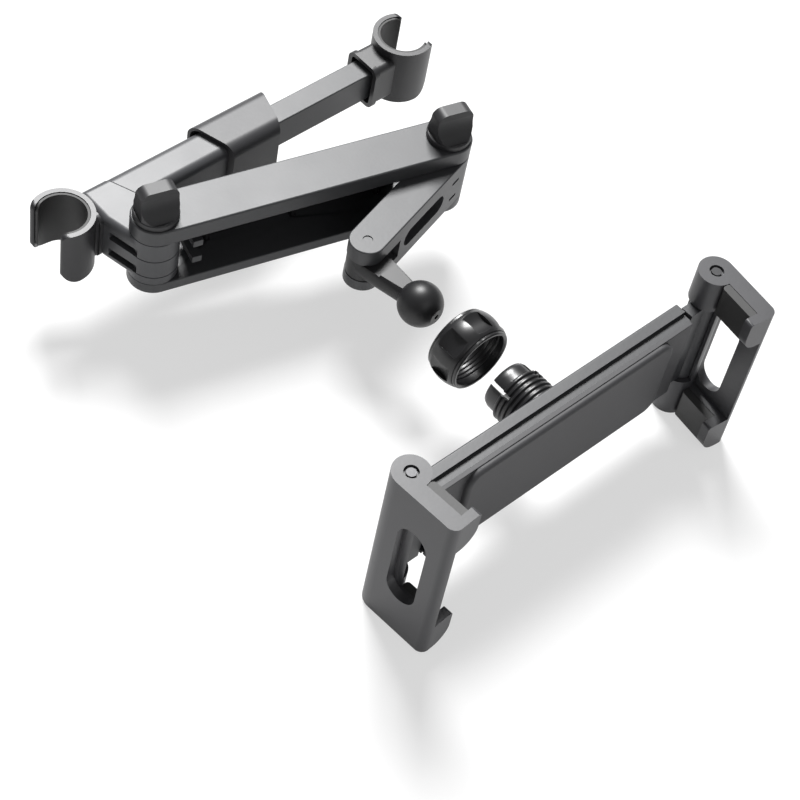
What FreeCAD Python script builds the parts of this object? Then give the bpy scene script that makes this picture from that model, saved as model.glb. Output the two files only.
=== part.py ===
"""Headrest tablet mount: a sprung crossbar, two folding arms, a ball joint and a sprung tablet holder.

Frame: millimetres, +Z up, +X along the crossbar from the left hook to the right hook, -Y towards the
passenger. The origin is the axis of the left hook at the mid height of the crossbar.
"""
import FreeCAD, Part
import math
import os

V = FreeCAD.Vector
X_AXIS, Y_AXIS, Z_AXIS = V(1, 0, 0), V(0, 1, 0), V(0, 0, 1)

# Clearances
RUN = 0.06               # radial, pin in bore
FACE = 0.2               # between flat faces that slide past each other
AIR = 0.35               # between curved faces on different bodies

# Headrest hooks
POST_SPACING = 161.6     # between the two hook axes, as shown
HOOK_R = 11.8
HOOK_WALL = 1.9
LINER_WALL = 1.2
HOOK_TOP = 13.4
HOOK_HEIGHT = 25.0
HOOK_MOUTH = 55.0        # half angle of the open side
HOOK_CORNER_R = 7.0      # rounded lower corner of the tips
HOOK_TOP_CORNER_R = 2.6

# Crossbar
BAR_HALF_H = 10.2        # half height of the block, the outer tube and the arm knuckles
TUBE_W = 15.0
TUBE_WALL = 1.8
TUBE_EDGE_R = 3.6
SEAM_X = 26.5            # middle of the slanted seam between block and outer tube
SEAM_SLANT = 23.0        # degrees
COLLAR_START, COLLAR_END = 67.0, 95.0
COLLAR_W, COLLAR_H = 20.0, 24.8
COLLAR_EDGE_R = 5.0
COLLAR_SLANT = 17.0      # degrees, each end
INNER_W, INNER_H = 9.2, 13.2
INNER_WALL = 1.5
INNER_START = 66.0       # end of the inner tube inside the outer tube
BAR_TRAVEL = 22.0
SPRING_SEAT = 31.0       # face the bar spring pushes against
FLANGE_X = 141.5
FLANGE_W, FLANGE_H = 16.0, 20.0

# Arms
ARM_PIVOT = V(24.1, -21.7, 0)
LONG_ARM_ANGLE = -15.3
LONG_ARM_LENGTH = 116.5
ARM_R = 9.2              # half width of the long arm
TOP_PLATE = 6.8
BOTTOM_PLATE = 4.8
WEB = 2.3                # back wall of the long arm
WEB_START = 15.4         # from either pivot
SHORT_ARM_ANGLE = 195.1
SHORT_ARM_LENGTH = 56.2
SHORT_ARM_W = 13.65
FORK_TOP, FORK_BOTTOM = 3.4, -5.6
FORK_DEPTH = 13.0        # slot behind the third pivot, for the link's swing
LINK_FLAT = 11.4         # length of the link's flat lug from the third pivot
LINK_ANGLE = -86.0
LINK_LENGTH = 28.2
LINK_R = 6.6
BOLT_R = 2.5
BOLT_HEAD_R = 4.4
LEAF_GROOVES = (1.8, -6.6)   # seams round the pivot knuckles
SIDE_SLOT_H = 3.6

# Wing knobs
KNOB_R = 8.4
KNOB_BASE = 2.4
KNOB_HEIGHT = 11.6
KNOB_TOP_W = 5.6
KNOB_SPAN = 14.4
KNOB_CORNER_R = 3.6
KNOB_GROOVES = (3.4, 5.9, 8.0)

# Ball joint
BALL_R = 8.5
NECK_R = 4.3
BALL_FLAT = 7.9          # flat on the ball, from its centre
BALL_HOLE_R = 1.0
NUT_START = 36.0         # nut's front ring, from the foot pins
NUT_LENGTH = 14.0
NUT_RING_R = 12.8
NUT_R = 14.4
NUT_BORE_R = 11.3
NUT_LIP_R = 10.1
NUT_LIP = 3.4
NUT_SCOOPS = 7
NUT_SCOOP_W = 7.4
NUT_SCOOP_R = 9.0
NUT_SCOOP_DEPTH = 2.1
COLLET_R = 10.95
COLLET_TIP_R = 9.7
COLLET_TIP = 24.3        # tip of the collet, from the foot pins
COLLET_THREAD_END = 18.9
COLLET_BORE_R = 8.78
SEAT_R = 9.55            # outside of the cup behind the ball
SEAT_BORE_R = 8.6
SEAT_SPREAD = 46.0       # half angle of the cup
SEAT_ROOM = 70.0         # half angle of the space the cup turns in
SOCKET_Y = 17.1          # socket centre, from the foot pins
COLLET_SLOTS = 4
COLLET_SLOT_W = 1.6
THREAD_PITCH = 2.0
THREAD_DEPTH = 0.7

# Tablet holder, measured from the middle of the line between the foot pins
HOLDER_X = 85.1
HOLDER_Y = -165.4
PIN_HALF = 72.24
PIN_R = 1.8
PIN_RING_R = 2.65
RAIL_HALF_H = 20.2
RAIL_HALF_L = 61.0
RAIL_BACK = 4.5
RAIL_WALL = 2.2
RAIL_RIB = 1.4
GROOVE_FLOOR = 18.6      # height of the rib under the open groove along the rail
COVER_SCREW_Z = 15.5
RAIL_FLANGE = 4.5        # width of the light band along the top
COVER_BACK = -3.4
COVER_FRONT = -5.2
COVER_HALF_L = 60.0
PAD_FRONT = -7.6
PAD_HALF_L = 49.5
PAD_TOP, PAD_BOTTOM = 19.2, -18.2
PAD_CORNER_R = 6.0
PAD_EDGE_R = 1.6
SLIDER_T = 2.4
SLIDER_HALF_H = 12.0
SLIDER_INNER = 8.0
SLIDER_TRAVEL = 33.0
SPRING_LANE = 7.0        # height of the slider spring above or below the rail's middle
SPRING_ANCHOR = 40.0
SLIDER_SPRING_R = 1.0
KNUCKLE_R = 4.9

# Feet
FOOT_R = 6.74
FOOT_TOP, FOOT_BOTTOM = 34.8, -38.8
JAW_TOP_H = 14.4
JAW_BOTTOM_H = 14.6
LOWER_BARREL_H = 18.4
FOOT_DEPTH = 25.6
FOOT_CORNER_R = 4.0
PLATE_T = 3.5
PAD_SEAM = -0.1
PAD_FACE = 3.2
LIP_TIP = 5.7
LIP_BACK = 21.9
LIP_CORNER_R = 7.0
JAW_PAD_START = 6.8
JAW_PAD_SINK = 0.2
JAW_PAD_CORNER_R = 2.6
WINDOW = (4.65, 17.25, -20.8, 18.1)
LEFT_SWING = 3.86
RIGHT_SWING = 6.69

ARM_END = ARM_PIVOT + V(math.cos(math.radians(LONG_ARM_ANGLE)), math.sin(math.radians(LONG_ARM_ANGLE)), 0) * LONG_ARM_LENGTH
FORK_OFFSET = ARM_R - SHORT_ARM_W / 2
CAVITY = BAR_HALF_H + FACE
ARM_TOP = CAVITY + TOP_PLATE
ARM_BOTTOM = -CAVITY - BOTTOM_PLATE
LINK_TOP = FORK_TOP - FACE
LINK_BOTTOM = FORK_BOTTOM + FACE


def box(x0, x1, y0, y1, z0, z1):
    """Box between two corners."""
    return Part.makeBox(x1 - x0, y1 - y0, z1 - z0, V(x0, y0, z0))


def rod(radius, z0, z1, x=0.0, y=0.0):
    """Upright cylinder."""
    return Part.makeCylinder(radius, z1 - z0, V(x, y, z0), Z_AXIS)


def rod_y(radius, y0, y1, x=0.0, z=0.0):
    """Cylinder along Y."""
    return Part.makeCylinder(radius, y1 - y0, V(x, y0, z), Y_AXIS)


def rod_x(radius, x0, x1, y=0.0, z=0.0):
    """Cylinder along X."""
    return Part.makeCylinder(radius, x1 - x0, V(x0, y, z), X_AXIS)


def tube(outer, inner, z0, z1, x=0.0, y=0.0):
    """Upright tube."""
    return rod(outer, z0, z1, x, y).cut(rod(inner, z0, z1, x, y))


def prism(points, z0, z1):
    """Upright prism of a closed outline of (x, y) points."""
    wire = Part.makePolygon([V(x, y, z0) for x, y in points] + [V(points[0][0], points[0][1], z0)])
    return Part.Face(wire).extrude(V(0, 0, z1 - z0))


def prism_x(points, x0, x1):
    """Prism along X of a closed outline of (y, z) points."""
    wire = Part.makePolygon([V(x0, y, z) for y, z in points] + [V(x0, points[0][0], points[0][1])])
    return Part.Face(wire).extrude(V(x1 - x0, 0, 0))


def round_edges(shape, radius, wanted):
    """Fillet the edges for which wanted(edge) is true."""
    edges = [edge for edge in shape.Edges if wanted(edge)]
    return shape.makeFillet(radius, edges) if edges else shape


def along(axis):
    """Test for straight edges that run along an axis."""
    def wanted(edge):
        line = edge.Curve
        return isinstance(line, Part.Line) and abs(abs(line.Direction.dot(axis)) - 1) < 1e-6
    return wanted


def bar_x(x0, x1, width, height, radius, z=0.0):
    """Rounded bar along X."""
    shape = box(x0, x1, -width / 2, width / 2, z - height / 2, z + height / 2)
    return round_edges(shape, radius, along(X_AXIS))


def obround(length, radius, z0, z1):
    """Upright obround from the origin along +X."""
    return rod(radius, z0, z1).fuse(rod(radius, z0, z1, length)).fuse(
        box(0, length, -radius, radius, z0, z1)).removeSplitter()


def turn(shape, angle, centre=V(0, 0, 0), axis=Z_AXIS):
    """Copy turned about an axis through a point."""
    copy = shape.copy()
    copy.rotate(centre, axis, angle)
    return copy


def move(shape, offset):
    """Copy moved by an offset."""
    copy = shape.copy()
    copy.translate(offset)
    return copy


def revolve_y(points, centre_x=0.0):
    """Solid of revolution about Y of a closed outline of (radius, y) points."""
    corners = [V(centre_x + r, y, 0) for r, y in points]
    face = Part.Face(Part.makePolygon(corners + [corners[0]]))
    return face.revolve(V(centre_x, 0, 0), Y_AXIS, 360)


def ribbed_sleeve(x0, x1, outer, wire, turns):
    """Closed sleeve along X whose ribs stand for the turns of a coil spring."""
    pitch = (x1 - x0) / turns
    points = [(outer - wire, x0), (outer - wire, x1)]
    for turn_index in range(turns):
        start = x1 - turn_index * pitch
        points += [(outer - wire * 0.4, start), (outer, start - pitch * 0.3), (outer, start - pitch * 0.7)]
    points.append((outer - wire * 0.4, x0))
    corners = [V(x, r, 0) for r, x in points]
    return Part.Face(Part.makePolygon(corners + [corners[0]])).revolve(V(0, 0, 0), X_AXIS, 360)


def hook_ring(outer, inner, top, bottom):
    """C ring open towards -X, with rounded ends and rounded lower tip corners."""
    ring = tube(outer, inner, bottom, top)
    reach = outer * 2
    spread = math.radians(HOOK_MOUTH)
    mouth = prism([(0, 0), (-reach * math.cos(spread), reach * math.sin(spread)), (-reach * 2, 0),
                   (-reach * math.cos(spread), -reach * math.sin(spread))], bottom, top)
    ring = ring.cut(mouth)
    middle = (outer + inner) / 2
    for side in (1, -1):
        x, y = -middle * math.cos(spread), side * middle * math.sin(spread)
        ring = ring.fuse(rod((outer - inner) / 2, bottom, top, x, y))
    tip = middle * math.cos(spread) + (outer - inner) / 2
    profile = box(-tip, outer + 1, -outer - 1, outer + 1, bottom, top)
    profile = round_edges(profile, HOOK_CORNER_R,
                          lambda e: along(Y_AXIS)(e) and e.CenterOfMass.x < 0 and e.CenterOfMass.z < 0)
    profile = round_edges(profile, HOOK_TOP_CORNER_R,
                          lambda e: along(Y_AXIS)(e) and e.CenterOfMass.x < 0 and e.CenterOfMass.z > 0)
    return ring.common(profile).removeSplitter()


HOOK_BOTTOM = HOOK_TOP - HOOK_HEIGHT
HOOK_SEAT_R = HOOK_R - HOOK_WALL
LINER_R = HOOK_SEAT_R - LINER_WALL
NECK_X = HOOK_SEAT_R


def left_hook():
    """Left C hook with the neck that joins it to the hinge block."""
    ring = hook_ring(HOOK_R, HOOK_SEAT_R, HOOK_TOP, HOOK_BOTTOM)
    neck = box(HOOK_R - 5.5, HOOK_R, -TUBE_W / 2, TUBE_W / 2, -BAR_HALF_H, BAR_HALF_H)
    neck = round_edges(neck, 2.4, lambda e: along(Y_AXIS)(e) or along(X_AXIS)(e))
    pad = box(HOOK_R - 1.4, HOOK_R, -TUBE_W / 2 - 0.8, TUBE_W / 2 + 0.8, -BAR_HALF_H, BAR_HALF_H)
    pad = round_edges(pad, 3.0, along(X_AXIS))
    spigot = rod_x(3.0, HOOK_R - 0.5, HOOK_R + 4.0)
    body = ring.fuse(neck).fuse(pad).cut(rod(HOOK_SEAT_R, HOOK_BOTTOM, HOOK_TOP))
    body = body.fuse(spigot)
    return body.removeSplitter()


def hook_liner():
    """Soft C sleeve inside a hook, with a low rim over its top."""
    return hook_ring(HOOK_SEAT_R, LINER_R, HOOK_TOP - 0.3, HOOK_BOTTOM + 0.6)


BLOCK_X = HOOK_R
TANGENT_LEFT = V(ARM_PIVOT.x - ARM_R * 0.95, ARM_PIVOT.y - ARM_R * 0.31, 0)
TANGENT_RIGHT = V(ARM_PIVOT.x + ARM_R, ARM_PIVOT.y, 0)


def seam_wedge(offset):
    """Everything to the left of the slanted seam, moved by an offset along X."""
    slant = math.tan(math.radians(SEAM_SLANT)) * 60
    x = SEAM_X + offset
    return prism([(-60, -60), (x + slant, -60), (x - slant, 60), (-60, 60)], -60, 60)


def hinge_block():
    """Block that carries the left hook, the outer tube and the first arm pivot."""
    lean = math.tan(math.radians(SEAM_SLANT)) * TUBE_W / 2
    outline = [(BLOCK_X, TUBE_W / 2), (SEAM_X - lean, TUBE_W / 2), (SEAM_X + lean, -TUBE_W / 2),
               (TANGENT_RIGHT.x, -TUBE_W / 2 - 4.0), (TANGENT_RIGHT.x, TANGENT_RIGHT.y),
               (ARM_PIVOT.x, ARM_PIVOT.y), (TANGENT_LEFT.x, TANGENT_LEFT.y), (BLOCK_X, -TUBE_W / 2 - 1.0)]
    body = prism(outline, -BAR_HALF_H, BAR_HALF_H)
    body = round_edges(body, 1.6, lambda e: along(Z_AXIS)(e) and e.CenterOfMass.x < BLOCK_X + 1)
    body = round_edges(body, 3.0, lambda e: along(X_AXIS)(e) and e.CenterOfMass.y > TUBE_W / 2 - 0.1)
    body = body.fuse(rod(ARM_R, -BAR_HALF_H, BAR_HALF_H, ARM_PIVOT.x, ARM_PIVOT.y)).removeSplitter()
    for seam in LEAF_GROOVES:
        groove = tube(ARM_R + 1, ARM_R - 0.5, seam - 0.2, seam + 0.2, ARM_PIVOT.x, ARM_PIVOT.y)
        keep = box(ARM_PIVOT.x - 20, ARM_PIVOT.x + 20, ARM_PIVOT.y - 20, ARM_PIVOT.y, -60, 60)
        body = body.cut(groove.common(keep))
        run = TANGENT_LEFT - V(BLOCK_X, -TUBE_W / 2 - 1.0, 0)
        slot = box(2.6, run.Length - 1.0, -2, 5.0, seam, seam + SIDE_SLOT_H)
        slot = turn(slot, math.degrees(math.atan2(run.y, run.x)))
        body = body.cut(move(slot, V(BLOCK_X, -TUBE_W / 2 - 1.0, 0)))
        boss = rod(2.2, seam, seam + SIDE_SLOT_H, TANGENT_LEFT.x + 3.0, TANGENT_LEFT.y + 3.4)
        body = body.fuse(boss)
    body = body.cut(rod(BOLT_R + RUN, -60, 60, ARM_PIVOT.x, ARM_PIVOT.y))
    body = body.cut(rod_x(3.0 + RUN, BLOCK_X - 1, BLOCK_X + 4.5))
    plug_w, plug_h = TUBE_W - 2 * TUBE_WALL - 0.04, 2 * BAR_HALF_H - 2 * TUBE_WALL - 0.04
    plug = bar_x(SEAM_X - 8, SPRING_SEAT, plug_w, plug_h, 2.0)
    return body.fuse(plug).removeSplitter()


def outer_tube():
    """Rounded rectangular tube from the seam to the collar."""
    outside = bar_x(SEAM_X - 20, COLLAR_END - 3, TUBE_W, 2 * BAR_HALF_H, TUBE_EDGE_R)
    inside = bar_x(SEAM_X - 21, COLLAR_END, TUBE_W - 2 * TUBE_WALL, 2 * BAR_HALF_H - 2 * TUBE_WALL, 2.0)
    body = outside.cut(inside).cut(seam_wedge(0.15))
    guide_w, guide_h = INNER_W + 2 * FACE, INNER_H + 2 * FACE
    for start in (COLLAR_START + 1, COLLAR_END - 11):
        rib = bar_x(start, start + 3, TUBE_W - 2 * TUBE_WALL + 0.2, 2 * BAR_HALF_H - 2 * TUBE_WALL + 0.2, 2.0)
        window = box(start - 1, start + 4, -guide_w / 2, guide_w / 2, -guide_h / 2, guide_h / 2)
        body = body.fuse(rib.cut(window))
    return body.removeSplitter()


def slanted_end(x, slant, keep_left):
    """Cutter for one slanted end of the collar."""
    tilt = math.tan(math.radians(slant)) * 40
    far = x + 60 if keep_left else x - 60
    return prism([(x - tilt, -40), (x + tilt, 40), (far + tilt, 40), (far - tilt, -40)], -60, 60)


def bar_collar():
    """Sleeve round the end of the outer tube, longer at the back, with a recessed mouth."""
    body = bar_x(COLLAR_START - 6, COLLAR_END + 6, COLLAR_W, COLLAR_H, COLLAR_EDGE_R)
    body = body.cut(slanted_end(COLLAR_END, COLLAR_SLANT, True))
    body = body.cut(slanted_end(COLLAR_START, -COLLAR_SLANT, False))
    fit = bar_x(COLLAR_START - 9, COLLAR_END - 3, TUBE_W + 0.04, 2 * BAR_HALF_H + 0.04, TUBE_EDGE_R)
    mouth = bar_x(COLLAR_START - 9, COLLAR_START + 2.0, COLLAR_W - 2.4, COLLAR_H - 2.4, COLLAR_EDGE_R - 1.2)
    exit_hole = bar_x(COLLAR_END - 4, COLLAR_END + 8, INNER_W + 2 * AIR, INNER_H + 2 * AIR, 0.8)
    body = body.cut(fit).cut(mouth).cut(exit_hole)
    return body.removeSplitter()


def inner_tube():
    """Rectangular tube that slides out of the collar."""
    outside = bar_x(INNER_START, FLANGE_X + 9, INNER_W, INNER_H, 0.5)
    inside = bar_x(INNER_START + 4, FLANGE_X + 10, INNER_W - 2 * INNER_WALL, INNER_H - 2 * INNER_WALL, 0.4)
    return outside.cut(inside).removeSplitter()


def bar_spring():
    """Spring that pushes the inner tube outwards."""
    return ribbed_sleeve(SPRING_SEAT, INNER_START, 3.6, 1.0, 9)


def right_hook():
    """Right C hook, its body and the flanged mouth round the inner tube."""
    ring = turn(hook_ring(HOOK_R, HOOK_SEAT_R, HOOK_TOP, HOOK_BOTTOM), 180)
    ring = move(ring, V(POST_SPACING, 0, 0))
    flange = bar_x(FLANGE_X, FLANGE_X + 2.2, FLANGE_W, FLANGE_H, 3.4)
    body = bar_x(FLANGE_X + 1, POST_SPACING - HOOK_R + 4, FLANGE_W - 1.6, FLANGE_H - 1.2, 2.6)
    shape = flange.fuse(body).fuse(ring)
    shape = shape.cut(rod(HOOK_SEAT_R, HOOK_BOTTOM, HOOK_TOP, POST_SPACING, 0))
    mouth = bar_x(FLANGE_X - 1, FLANGE_X + 4, INNER_W + 3.0, INNER_H + 3.4, 1.6)
    seat = bar_x(FLANGE_X + 3, FLANGE_X + 9, INNER_W, INNER_H, 0.5)
    return shape.cut(mouth).cut(seat).removeSplitter()


def arm_frame(shape):
    """Place a shape made along +X from the first pivot on the long arm."""
    return move(turn(shape, LONG_ARM_ANGLE), ARM_PIVOT)


def long_arm_top():
    """Top plate of the long arm with the back web and the stop tongues."""
    plate = obround(LONG_ARM_LENGTH, ARM_R, CAVITY, ARM_TOP)
    plate = round_edges(plate, 0.7, lambda e: e.CenterOfMass.z > ARM_TOP - 1e-3)
    web = box(WEB_START, LONG_ARM_LENGTH - WEB_START, ARM_R - WEB, ARM_R, -CAVITY, CAVITY + 0.5)
    body = plate.fuse(web)
    for seam in LEAF_GROOVES:
        body = body.fuse(box(WEB_START - 3.2, WEB_START + 0.6, -ARM_R + 2.2, ARM_R - WEB, seam + 0.4, seam + 3.4))
        body = body.fuse(box(WEB_START - 0.4, WEB_START + 0.6, 0, ARM_R - WEB + 0.5, seam + 0.4, seam + 3.4))
    for pivot in (0.0, LONG_ARM_LENGTH):
        body = body.cut(rod(BOLT_R + RUN, -60, 60, pivot))
    return arm_frame(body.removeSplitter())


def long_arm_bottom():
    """Bottom plate of the long arm, with hexagon pockets for the pivot nuts."""
    plate = obround(LONG_ARM_LENGTH, ARM_R, ARM_BOTTOM, -CAVITY)
    plate = round_edges(plate, 0.7, lambda e: e.CenterOfMass.z < ARM_BOTTOM + 1e-3)
    for pivot in (0.0, LONG_ARM_LENGTH):
        plate = plate.cut(rod(BOLT_R + RUN, -60, 60, pivot))
        plate = plate.cut(hexagon(NUT_HALF + 0.1, ARM_BOTTOM - 1, ARM_BOTTOM + 3.2, pivot))
    for place in PLATE_SCREWS:
        plate = plate.cut(rod(1.1, -60, 60, place, ARM_R - 3.6))
        plate = plate.cut(rod(2.1, -60, ARM_BOTTOM + 1.6, place, ARM_R - 3.6))
    return arm_frame(plate)


NUT_HALF = 4.0           # half width across flats of the pivot nuts
PLATE_SCREWS = (WEB_START + 8, LONG_ARM_LENGTH / 2, LONG_ARM_LENGTH - WEB_START - 8)


def hexagon(half, z0, z1, x=0.0, y=0.0):
    """Upright hexagon prism, half is half its width across flats."""
    radius = half / math.cos(math.radians(30))
    corners = [(x + radius * math.cos(math.radians(60 * k)), y + radius * math.sin(math.radians(60 * k)))
               for k in range(6)]
    return prism(corners, z0, z1)


def arm_screws():
    """Small screws that hold the bottom plate to bosses on the web."""
    screws = []
    for place in PLATE_SCREWS:
        head = rod(1.95, ARM_BOTTOM + 0.2, ARM_BOTTOM + 1.55, place, ARM_R - 3.6)
        shank = rod(1.0, ARM_BOTTOM + 1.5, -CAVITY + 3.0, place, ARM_R - 3.6)
        cross = box(place - 1.1, place + 1.1, ARM_R - 3.85, ARM_R - 3.35, ARM_BOTTOM, ARM_BOTTOM + 0.8)
        screws.append(head.fuse(shank).cut(cross).removeSplitter())
    return arm_frame(Part.makeCompound(screws))


def pivot_bolt():
    """Bolt of one arm pivot, its square head held in the knob."""
    shank = rod(BOLT_R, ARM_BOTTOM + 0.4, ARM_TOP + KNOB_BASE)
    head = box(-3.4, 3.4, -2.2, 2.2, ARM_TOP + KNOB_BASE - 0.5, ARM_TOP + KNOB_BASE + 2.5)
    return shank.fuse(head).removeSplitter()


def pivot_nut():
    """Hexagon nut in the bottom plate."""
    return hexagon(NUT_HALF, ARM_BOTTOM + 0.3, ARM_BOTTOM + 3.2).cut(rod(BOLT_R + RUN, -60, 60))


def wing_knob():
    """Round base with an upright wing, its faces flaring down in shallow waves."""
    top = ARM_TOP + KNOB_BASE + KNOB_HEIGHT
    foot = ARM_TOP + KNOB_BASE
    base = rod(KNOB_R, ARM_TOP + FACE, foot)
    base = round_edges(base, 0.6, lambda e: e.CenterOfMass.z > foot - 1e-3)
    half = KNOB_TOP_W / 2
    flare = Part.Arc(V(0, -KNOB_R + 0.5, foot - 0.6), V(0, -half - 1.1, foot + 3.6), V(0, -half, top - 2.6)).toShape()
    back = flare.mirror(V(0, 0, 0), Y_AXIS)
    side = Part.makeLine(V(0, -half, top - 2.6), V(0, -half + 0.2, top))
    side_back = side.mirror(V(0, 0, 0), Y_AXIS)
    lid = Part.makeLine(V(0, -half + 0.2, top), V(0, half - 0.2, top))
    floor = Part.makeLine(V(0, KNOB_R - 0.5, foot - 0.6), V(0, -KNOB_R + 0.5, foot - 0.6))
    wire = Part.Wire(Part.__sortEdges__([flare, side, lid, side_back, back, floor]))
    wing = move(Part.Face(wire).extrude(V(KNOB_SPAN, 0, 0)), V(-KNOB_SPAN / 2, 0, 0))
    front = box(-KNOB_SPAN / 2, KNOB_SPAN / 2, -KNOB_R, KNOB_R, foot - 1, top)
    front = round_edges(front, KNOB_CORNER_R, lambda e: along(Y_AXIS)(e) and e.CenterOfMass.z > foot)
    wing = wing.common(front).common(rod(KNOB_R - 0.3, foot - 1, top + 1))
    for height in KNOB_GROOVES:
        for side_sign in (1, -1):
            centre = V(-KNOB_R, side_sign * (half + 3.2 - 0.27 * height), foot + height)
            wing = wing.cut(Part.makeCylinder(0.75, 2 * KNOB_R, centre, X_AXIS))
    body = base.fuse(wing).removeSplitter()
    body = body.cut(rod(BOLT_R, ARM_TOP - 1, foot))
    return body.cut(box(-3.45, 3.45, -2.25, 2.25, foot - 0.55, foot + 2.55))


def short_frame(shape):
    """Place a shape made along +X from the second pivot on the short arm."""
    return move(turn(shape, SHORT_ARM_ANGLE), ARM_END)


def short_arm_outline(z0, z1, inset=0.0):
    """Body of the short arm: big round end, flush front face, narrow round fork end."""
    front, back = ARM_R - inset, ARM_R - SHORT_ARM_W + inset
    big = rod(ARM_R - inset, z0, z1)
    small = rod(SHORT_ARM_W / 2 - inset, z0, z1, SHORT_ARM_LENGTH, FORK_OFFSET)
    web = box(0, SHORT_ARM_LENGTH, back, front, z0, z1)
    return big.fuse(small).fuse(web).removeSplitter()


SHORT_SPLIT = 0.0        # height of the seam between the two halves of the short arm


def short_arm_half(z0, z1):
    """Everything that both halves of the short arm share between two heights."""
    body = short_arm_outline(z0, z1)
    outer = BAR_HALF_H if z1 > 0 else -BAR_HALF_H
    body = round_edges(body, 0.5, lambda e: abs(e.CenterOfMass.z - outer) < 1e-4)
    fork = rod(SHORT_ARM_W / 2 + 0.6, FORK_BOTTOM, FORK_TOP, SHORT_ARM_LENGTH, FORK_OFFSET)
    mouth = box(SHORT_ARM_LENGTH - FORK_DEPTH, SHORT_ARM_LENGTH + 12, -12, 16, FORK_BOTTOM, FORK_TOP)
    body = body.cut(fork).cut(mouth)
    pocket_low, pocket_high = 13.0, 40.0
    radius = 4.2
    pocket = rod_y(radius, ARM_R - 5.0, ARM_R + 1, pocket_low + radius, -0.4)
    pocket = pocket.fuse(rod_y(radius, ARM_R - 5.0, ARM_R + 1, pocket_high - radius, -0.4))
    pocket = pocket.fuse(box(pocket_low + radius, pocket_high - radius, ARM_R - 5, ARM_R + 1,
                             -0.4 - radius, -0.4 + radius))
    body = body.cut(pocket)
    for seam in LEAF_GROOVES:
        slot = box(3.2, 7.6, ARM_R - 2.4, ARM_R + 1, seam + 0.6, seam + 2.0)
        body = body.cut(slot)
    body = body.cut(rod(BOLT_R + RUN, -60, 60))
    return body.cut(rod(PIN_R + RUN, -60, 60, SHORT_ARM_LENGTH, FORK_OFFSET))


def short_arm():
    """Short arm with its fork and side pocket, one moulding."""
    return short_frame(short_arm_half(-BAR_HALF_H, BAR_HALF_H).removeSplitter())


def link_pin():
    """Pin of the third pivot, through the fork and the link."""
    pin = rod(PIN_R, -BAR_HALF_H + 0.4, BAR_HALF_H - 0.4, SHORT_ARM_LENGTH, FORK_OFFSET)
    return short_frame(pin)


FORK_POINT = ARM_END + V(
    SHORT_ARM_LENGTH * math.cos(math.radians(SHORT_ARM_ANGLE)) - FORK_OFFSET * math.sin(math.radians(SHORT_ARM_ANGLE)),
    SHORT_ARM_LENGTH * math.sin(math.radians(SHORT_ARM_ANGLE)) + FORK_OFFSET * math.cos(math.radians(SHORT_ARM_ANGLE)),
    0)
BALL = V(HOLDER_X, HOLDER_Y + 68.1, 0)
LINK_REACH = BALL - FORK_POINT


def link_frame(shape):
    """Place a shape made along +X from the third pivot on the ball link."""
    return move(turn(shape, math.degrees(math.atan2(LINK_REACH.y, LINK_REACH.x))), FORK_POINT)


def ball_link():
    """Lug in the fork, the tapering neck and the ball with a small flat and hole in its tip, one moulding."""
    lug = rod(LINK_R, LINK_BOTTOM, LINK_TOP)
    length = LINK_REACH.Length
    cone = Part.makeCone(LINK_R + 0.2, NECK_R, length - BALL_R + 3.0, V(0, 0, 0), X_AXIS)
    slab = box(-1, length, -LINK_R, LINK_R, LINK_BOTTOM, LINK_TOP + 0.6)
    clip = box(-20, LINK_FLAT, -20, 20, LINK_BOTTOM, LINK_TOP).fuse(box(LINK_FLAT - 0.1, 60, -20, 20, -20, 20))
    body = lug.fuse(cone.common(slab).common(clip)).removeSplitter()
    flat_r = math.sqrt(BALL_R ** 2 - BALL_FLAT ** 2)
    back, tip = V(length - BALL_R, 0, 0), V(length + BALL_FLAT, 0, 0)
    skin = Part.Arc(back, V(length, BALL_R, 0), V(tip.x, flat_r, 0)).toShape()
    outline = Part.Wire([skin, Part.makeLine(V(tip.x, flat_r, 0), tip), Part.makeLine(tip, back)])
    ball = Part.Face(outline).revolve(V(0, 0, 0), X_AXIS, 360)
    body = body.fuse(ball).cut(rod_x(BALL_HOLE_R, length + 1, length + 20))
    return link_frame(body.cut(rod(PIN_R + RUN, -60, 60)))


def holder_frame(shape):
    """Place a shape made round the middle of the foot pins."""
    return move(shape, V(HOLDER_X, HOLDER_Y, 0))


def ring_nut():
    """Barrel shaped nut with scooped grips, plain end rings and an inner lip."""
    start, end = NUT_START, NUT_START + NUT_LENGTH
    bulge = Part.Arc(V(NUT_RING_R + 0.35, start + 1.3, 0), V(NUT_R, (start + end) / 2, 0),
                     V(NUT_RING_R + 0.35, end - 1.3, 0)).toShape()
    corners = [V(NUT_RING_R + 0.35, end - 1.3, 0), V(NUT_RING_R, end - 1.3, 0), V(NUT_RING_R, end - 0.4, 0),
               V(NUT_RING_R - 0.4, end, 0), V(NUT_LIP_R, end, 0), V(NUT_LIP_R, end - NUT_LIP, 0),
               V(NUT_BORE_R, end - NUT_LIP, 0), V(NUT_BORE_R, start + 0.6, 0), V(NUT_BORE_R + 0.5, start, 0),
               V(NUT_RING_R - 0.4, start, 0), V(NUT_RING_R, start + 0.4, 0), V(NUT_RING_R, start + 1.3, 0),
               V(NUT_RING_R + 0.35, start + 1.3, 0)]
    edges = [bulge] + [Part.makeLine(a, b) for a, b in zip(corners, corners[1:])]
    nut = Part.Face(Part.Wire(edges)).revolve(V(0, 0, 0), Y_AXIS, 360)
    reach = NUT_R + NUT_SCOOP_R - NUT_SCOOP_DEPTH
    for index in range(NUT_SCOOPS):
        scoop = Part.makeCylinder(NUT_SCOOP_R, NUT_SCOOP_W, V(-NUT_SCOOP_W / 2, (start + end) / 2, reach), X_AXIS)
        nut = nut.cut(turn(scoop, index * 360 / NUT_SCOOPS + 8, axis=Y_AXIS))
    return holder_frame(nut)


COLLET_BASE = RAIL_BACK + FACE


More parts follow.
